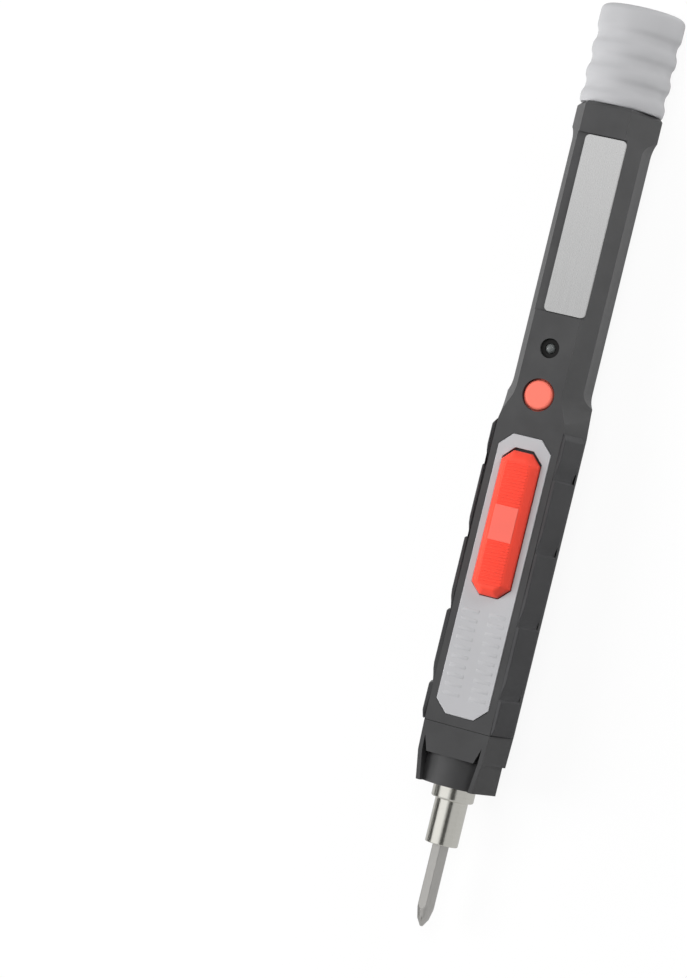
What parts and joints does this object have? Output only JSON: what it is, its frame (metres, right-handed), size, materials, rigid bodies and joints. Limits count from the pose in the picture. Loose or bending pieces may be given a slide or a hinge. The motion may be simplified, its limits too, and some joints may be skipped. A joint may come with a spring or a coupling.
{
  "type": "electric torque screwdriver",
  "caption": "Pen-shaped battery screwdriver with a six-sided body, rocker switch, round light button, geared clutch drive, bit chuck and screw-on ribbed battery cap.",
  "frame": {"origin": "on the flat back, at the middle of the tool's length and width", "axes": "+X along the tool towards the bit's tip, +Z out of the front face with the buttons, +Y to the side where the label plate is set off"},
  "size_m": [0.2278, 0.0236, 0.024],
  "materials": {
    "shell_black": "fine-grained black plastic",
    "shell_back": "fine-grained black plastic",
    "grip_rubber": "matt black soft grip",
    "panel_grey": "matt light grey soft plastic",
    "label_silver": "brushed silver plate, bare",
    "screw_steel": "zinc plated",
    "board_green": "solder mask",
    "led_clear": "clear",
    "switch_black": "moulded",
    "plunger_ivory": "moulded",
    "rocker_red": "satin red",
    "button_red": "satin red",
    "tube_grey": "moulded",
    "contact_brass": "plated",
    "cell_wrap": "printed wrap, plain",
    "seal_black": "matt",
    "contact_steel": "nickel plated",
    "cap_grey": "satin light grey, slightly translucent",
    "case_zinc": "glass filled nylon",
    "gear_nylon": "moulded nylon",
    "gear_steel": "sintered steel",
    "spring_steel": "drawn wire",
    "motor_steel": "zinc plated can",
    "magnet_dark": "ferrite",
    "armature": "varnished copper and iron",
    "lead_red": "insulated wire",
    "nickel": "bright nickel",
    "bush_bronze": "sintered bronze",
    "bit_steel": "hardened steel"
  },
  "bodies": {
    "housing": {"front_shell": "shell_black", "back_shell": "shell_back", "nose_collar": "shell_black", "side_grip_left": "grip_rubber", "side_grip_right": "grip_rubber", "thumb_panel": "panel_grey", "label_plate": "label_silver", "shell_screws": "screw_steel", "circuit_board": "board_green", "status_led": "led_clear", "forward_switch": "switch_black", "reverse_switch": "switch_black", "light_switch": "switch_black", "rocker_pin": "screw_steel", "battery_tube": "tube_grey", "front_contact": "contact_brass", "return_strip": "contact_brass", "cell_front": "cell_wrap", "cell_rear": "cell_wrap", "cap_seal": "seal_black", "gear_case": "case_zinc", "motor_plate": "screw_steel", "ring_gear": "gear_steel", "clutch_spring": "spring_steel", "motor_can": "motor_steel", "motor_magnets": "magnet_dark", "motor_endbell": "plunger_ivory", "motor_leads": "lead_red", "spindle_bush": "bush_bronze", "thrust_washer": "screw_steel"},
    "spindle": {"spindle": "gear_steel", "chuck_sleeve": "nickel", "bit_magnet": "magnet_dark", "retaining_ring": "spring_steel", "output_carrier": "gear_steel"},
    "bit": {"phillips_bit": "bit_steel"},
    "output_planet_1": {"output_planet_1": "gear_steel"},
    "output_planet_2": {"output_planet_2": "gear_steel"},
    "output_planet_3": {"output_planet_3": "gear_steel"},
    "input_carrier": {"input_carrier": "gear_nylon"},
    "input_planet_1": {"input_planet_1": "gear_nylon"},
    "input_planet_2": {"input_planet_2": "gear_nylon"},
    "input_planet_3": {"input_planet_3": "gear_nylon"},
    "motor_rotor": {"motor_pinion": "contact_brass", "motor_shaft": "screw_steel", "motor_armature": "armature"},
    "clutch_plate": {"clutch_plate": "gear_steel"},
    "rocker": {"rocker": "rocker_red"},
    "forward_plunger": {"forward_plunger": "plunger_ivory"},
    "reverse_plunger": {"reverse_plunger": "plunger_ivory"},
    "light_button": {"light_button": "button_red"},
    "light_plunger": {"light_plunger": "plunger_ivory"},
    "cap_contact": {"cap_contact": "contact_steel", "cap_spring": "spring_steel"},
    "rear_cap": {"rear_cap": "cap_grey"}
  },
  "joints": [
    {"name": "spindle_spin", "type": "hinge", "parent": "housing", "child": "spindle", "pos_m": [0.0736, 0, 0.0105], "axis": [1, 0, 0], "continuous": true},
    {"name": "bit_pull", "type": "slide", "parent": "spindle", "child": "bit", "axis": [1, 0, 0], "range_m": [0, 0.012]},
    {"name": "input_carrier_spin", "type": "hinge", "parent": "housing", "child": "input_carrier", "pos_m": [0.0536, 0, 0.0105], "axis": [1, 0, 0], "continuous": true},
    {"name": "motor_spin", "type": "hinge", "parent": "housing", "child": "motor_rotor", "pos_m": [0.0386, 0, 0.0105], "axis": [1, 0, 0], "continuous": true},
    {"name": "output_planet_1_spin", "type": "hinge", "parent": "spindle", "child": "output_planet_1", "pos_m": [0.056, -0.00405, 0.0105], "axis": [1, 0, 0], "continuous": true},
    {"name": "output_planet_2_spin", "type": "hinge", "parent": "spindle", "child": "output_planet_2", "pos_m": [0.056, 0.00202, 0.01401], "axis": [1, 0, 0], "continuous": true},
    {"name": "output_planet_3_spin", "type": "hinge", "parent": "spindle", "child": "output_planet_3", "pos_m": [0.056, 0.00202, 0.00699], "axis": [1, 0, 0], "continuous": true},
    {"name": "input_planet_1_spin", "type": "hinge", "parent": "input_carrier", "child": "input_planet_1", "pos_m": [0.0504, -0.00405, 0.0105], "axis": [1, 0, 0], "continuous": true},
    {"name": "input_planet_2_spin", "type": "hinge", "parent": "input_carrier", "child": "input_planet_2", "pos_m": [0.0504, 0.00202, 0.01401], "axis": [1, 0, 0], "continuous": true},
    {"name": "input_planet_3_spin", "type": "hinge", "parent": "input_carrier", "child": "input_planet_3", "pos_m": [0.0504, 0.00202, 0.00699], "axis": [1, 0, 0], "continuous": true},
    {"name": "clutch_lift", "type": "slide", "parent": "housing", "child": "clutch_plate", "axis": [1, 0, 0], "range_m": [0, 0.0005], "stiffness_N_per_m": 300, "springref_m": -0.002, "deforming": ["clutch_spring"]},
    {"name": "rocker_tilt", "type": "hinge", "parent": "housing", "child": "rocker", "pos_m": [0.0137, 0, 0.0188], "axis": [0, 1, 0], "range_deg": [-2.2, 2.2], "stiffness_Nm_per_rad": 0.02},
    {"name": "forward_press", "type": "slide", "parent": "housing", "child": "forward_plunger", "axis": [0, 0, -1], "range_m": [-0.0003, 0.0003]},
    {"name": "reverse_press", "type": "slide", "parent": "housing", "child": "reverse_plunger", "axis": [0, 0, -1], "range_m": [-0.0003, 0.0003]},
    {"name": "light_press", "type": "slide", "parent": "housing", "child": "light_button", "axis": [0, 0, -1], "range_m": [0, 0.0003], "stiffness_N_per_m": 200, "springref_m": -0.0005},
    {"name": "light_switch_press", "type": "slide", "parent": "housing", "child": "light_plunger", "axis": [0, 0, -1], "range_m": [0, 0.0003]},
    {"name": "cap_travel", "type": "slide", "parent": "housing", "child": "cap_contact", "axis": [-1, 0, 0], "range_m": [0, 0.006]},
    {"name": "cap_turn", "type": "hinge", "parent": "cap_contact", "child": "rear_cap", "pos_m": [-0.1014, 0, 0.0105], "axis": [-1, 0, 0], "range_deg": [0, 1440]}
  ],
  "couplings": [
    {"joint": "input_carrier_spin", "follows": "spindle_spin", "ratio": 4.5},
    {"joint": "motor_spin", "follows": "spindle_spin", "ratio": 20.25},
    {"joint": "output_planet_1_spin", "follows": "spindle_spin", "ratio": -2.8},
    {"joint": "output_planet_2_spin", "follows": "spindle_spin", "ratio": -2.8},
    {"joint": "output_planet_3_spin", "follows": "spindle_spin", "ratio": -2.8},
    {"joint": "input_planet_1_spin", "follows": "spindle_spin", "ratio": -12.6},
    {"joint": "input_planet_2_spin", "follows": "spindle_spin", "ratio": -12.6},
    {"joint": "input_planet_3_spin", "follows": "spindle_spin", "ratio": -12.6},
    {"joint": "forward_press", "follows": "rocker_tilt", "m_per_rad": 0.0075},
    {"joint": "reverse_press", "follows": "rocker_tilt", "m_per_rad": -0.0075},
    {"joint": "light_switch_press", "follows": "light_press", "ratio": 1},
    {"joint": "cap_turn", "follows": "cap_travel", "rad_per_m": 4188.8}
  ]
}
